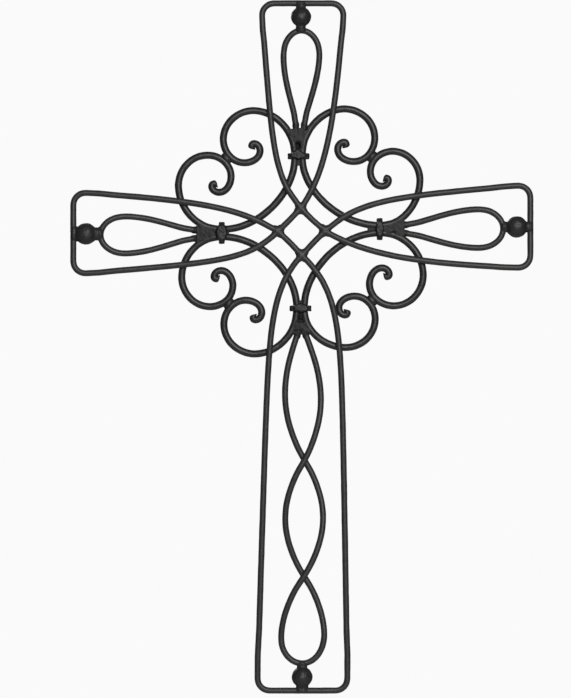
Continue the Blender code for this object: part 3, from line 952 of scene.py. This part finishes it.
blob = sphere("bead", 24, 16, scale=BEAD_HALF)
bead = melt([blob], "bead", voxel=0.0003, rounds=3, unevenness=0.0004)
for corner, (side, height, lean) in LOBE_WELDS.items():
    weld = copy_of(bead)
    weld.location = (side, SCROLL_DEPTH, height)
    weld.rotation_euler = (0, lean * DIAGONAL, 0)
    settle(weld, "lobe_weld_" + corner)
    # The lobe welds wear the weld metal painted lighter and shinier, a painted highlight.
    finish(weld, "weld_metal", paint="bead_metal_painted_lighter")
discard(bead)

# %% [markdown]
# ## The welds behind the outline
# The outline bars lie on the scrolls and are tacked to them where they touch. The closest places between each
# bar and each scroll are found on the finished meshes, and a small flat bead, modelled once, is copied there.

# %% Find where the bars touch
TACK_GAP = 0.0005


def touches(bar, scroll):
    """The places where a bar comes closest to a scroll, the closest first."""
    points = [vert.co for vert in scroll.data.vertices]
    skin = BVHTree.FromPolygons(points, [face.vertices for face in scroll.data.polygons])
    near = []
    for vert in bar.data.vertices:
        place, _, _, gap = skin.find_nearest(vert.co, TACK_GAP)
        if place is not None:
            near.append((gap, vert.index, (vert.co + place) / 2))
    return [place for _, _, place in sorted(near, key=lambda found: found[:2])]


# %% Build the tack welds
TACK_HALF = (0.0024, 0.0012, 0.0024)
TACK_DEPTH = 0.0028
TACKS_APART = 0.012
blob = sphere("tack", 24, 16, scale=TACK_HALF)
first_tack = melt([blob], "tack", voxel=0.0003, rounds=3, unevenness=0.0004)
tacked = []
for bar in outlines.values():
    for scroll in scrolls.values():
        for place in touches(bar, scroll):
            if all((place - other).length > TACKS_APART for other in tacked):
                tacked.append(place)
for number, place in enumerate(tacked, 1):
    weld = copy_of(first_tack)
    weld.location = (place.x, TACK_DEPTH, place.z)
    settle(weld, "tack_weld_%d" % number)
    finish(weld, "weld_metal")
discard(first_tack)
print("tack welds:", len(tacked))

# %% [markdown]
# ## Stage, light and camera
# The cross hangs straight in front of the camera, as in the photograph, against plain white. The pale floor
# lies a little below it, just out of the picture, and fades into the white around it. The world is white
# for the camera and dim for everything else, so that the round bars turn dark at their edges, as they do in
# front of a white paper roll. A weak light from behind keeps the back readable.

# %% Floor
FLOOR_GAP = 0.18
FLOOR_REACH = 1.6
FLOOR_SHADE = 0.9
FLOOR_GLOW = 0.5
bpy.ops.object.select_all(action="DESELECT")
bpy.ops.mesh.primitive_circle_add(vertices=96, radius=FLOOR_REACH, fill_type="NGON",
                                  location=(0, 0, cad_low.z - FLOOR_GAP))
floor = bpy.context.object
floor.name = "floor"
paper = bpy.data.materials.new("white_floor")
paper.use_nodes = True
nodes, links = paper.node_tree.nodes, paper.node_tree.links
shader = nodes["Principled BSDF"]
shader.inputs["Base Color"].default_value = (FLOOR_SHADE, FLOOR_SHADE, FLOOR_SHADE, 1)
shader.inputs["Roughness"].default_value = 0.9
shader.inputs["Emission Color"].default_value = (1, 1, 1, 1)
ray = nodes.new("ShaderNodeLightPath")
links.new(math_node(nodes, links, "MULTIPLY", ray.outputs["Is Camera Ray"], FLOOR_GLOW),
          shader.inputs["Emission Strength"])
place = nodes.new("ShaderNodeTexCoord")
reach = nodes.new("ShaderNodeVectorMath")
reach.operation = "LENGTH"
links.new(place.outputs["Object"], reach.inputs[0])
fade = nodes.new("ShaderNodeMapRange")
fade.interpolation_type = "SMOOTHSTEP"
for socket, value in (("From Min", FLOOR_REACH / 3), ("From Max", FLOOR_REACH), ("To Min", 1), ("To Max", 0)):
    fade.inputs[socket].default_value = value
links.new(reach.outputs["Value"], fade.inputs["Value"])
links.new(fade.outputs["Result"], shader.inputs["Alpha"])
floor.data.materials.append(paper)
print("floor", round(FLOOR_GAP * 1000), "mm below the cross")

# %% Soft studio light
WHITE = 0.956
DIM = 0.1
world = bpy.data.worlds.new("studio")
bpy.context.scene.world = world
world.use_nodes = True
nodes, links = world.node_tree.nodes, world.node_tree.links
paper_white = nodes["Background"]
paper_white.inputs["Color"].default_value = (WHITE, WHITE, WHITE, 1)
room = nodes.new("ShaderNodeBackground")
room.inputs["Color"].default_value = (DIM, DIM, DIM, 1)
which = nodes.new("ShaderNodeMixShader")
ray = nodes.new("ShaderNodeLightPath")
links.new(ray.outputs["Is Camera Ray"], which.inputs["Fac"])
links.new(room.outputs["Background"], which.inputs[1])
links.new(paper_white.outputs["Background"], which.inputs[2])
links.new(which.outputs["Shader"], nodes["World Output"].inputs["Surface"])


def softbox(name, place, size, power):
    bpy.ops.object.light_add(type="AREA", location=place)
    lamp = bpy.context.object
    lamp.name = name
    lamp.data.size = size
    lamp.data.energy = power
    lamp.rotation_mode = "QUATERNION"
    lamp.rotation_quaternion = (CENTRE - Vector(place)).to_track_quat("-Z", "Y")


softbox("front_light", place=(0.5, -2.6, 0.5), size=0.9, power=52)
softbox("back_light", place=(-0.8, 2.6, 0.9), size=1.5, power=22)
bpy.context.scene.view_settings.view_transform = "Standard"

# %% Camera
PHOTO_SIZE = (571, 698)
PIXEL = 0.00088
CENTRE_PIXEL = (301.5, 231.5)
DISTANCE = 3.0
FAR_CLIP = 20
aim = Vector((PHOTO_SIZE[0] / 2 - CENTRE_PIXEL[0], 0, CENTRE_PIXEL[1] - PHOTO_SIZE[1] / 2)) * PIXEL + CENTRE
bpy.ops.object.camera_add(location=aim - Vector((0, DISTANCE, 0)), rotation=(QUARTER_TURN, 0, 0))
camera = bpy.context.object
camera.data.lens = camera.data.sensor_width * DISTANCE / (PHOTO_SIZE[1] * PIXEL)
camera.data.clip_end = FAR_CLIP
bpy.context.scene.camera = camera
print("camera at", [round(value, 4) for value in camera.location], "lens", round(camera.data.lens, 1))
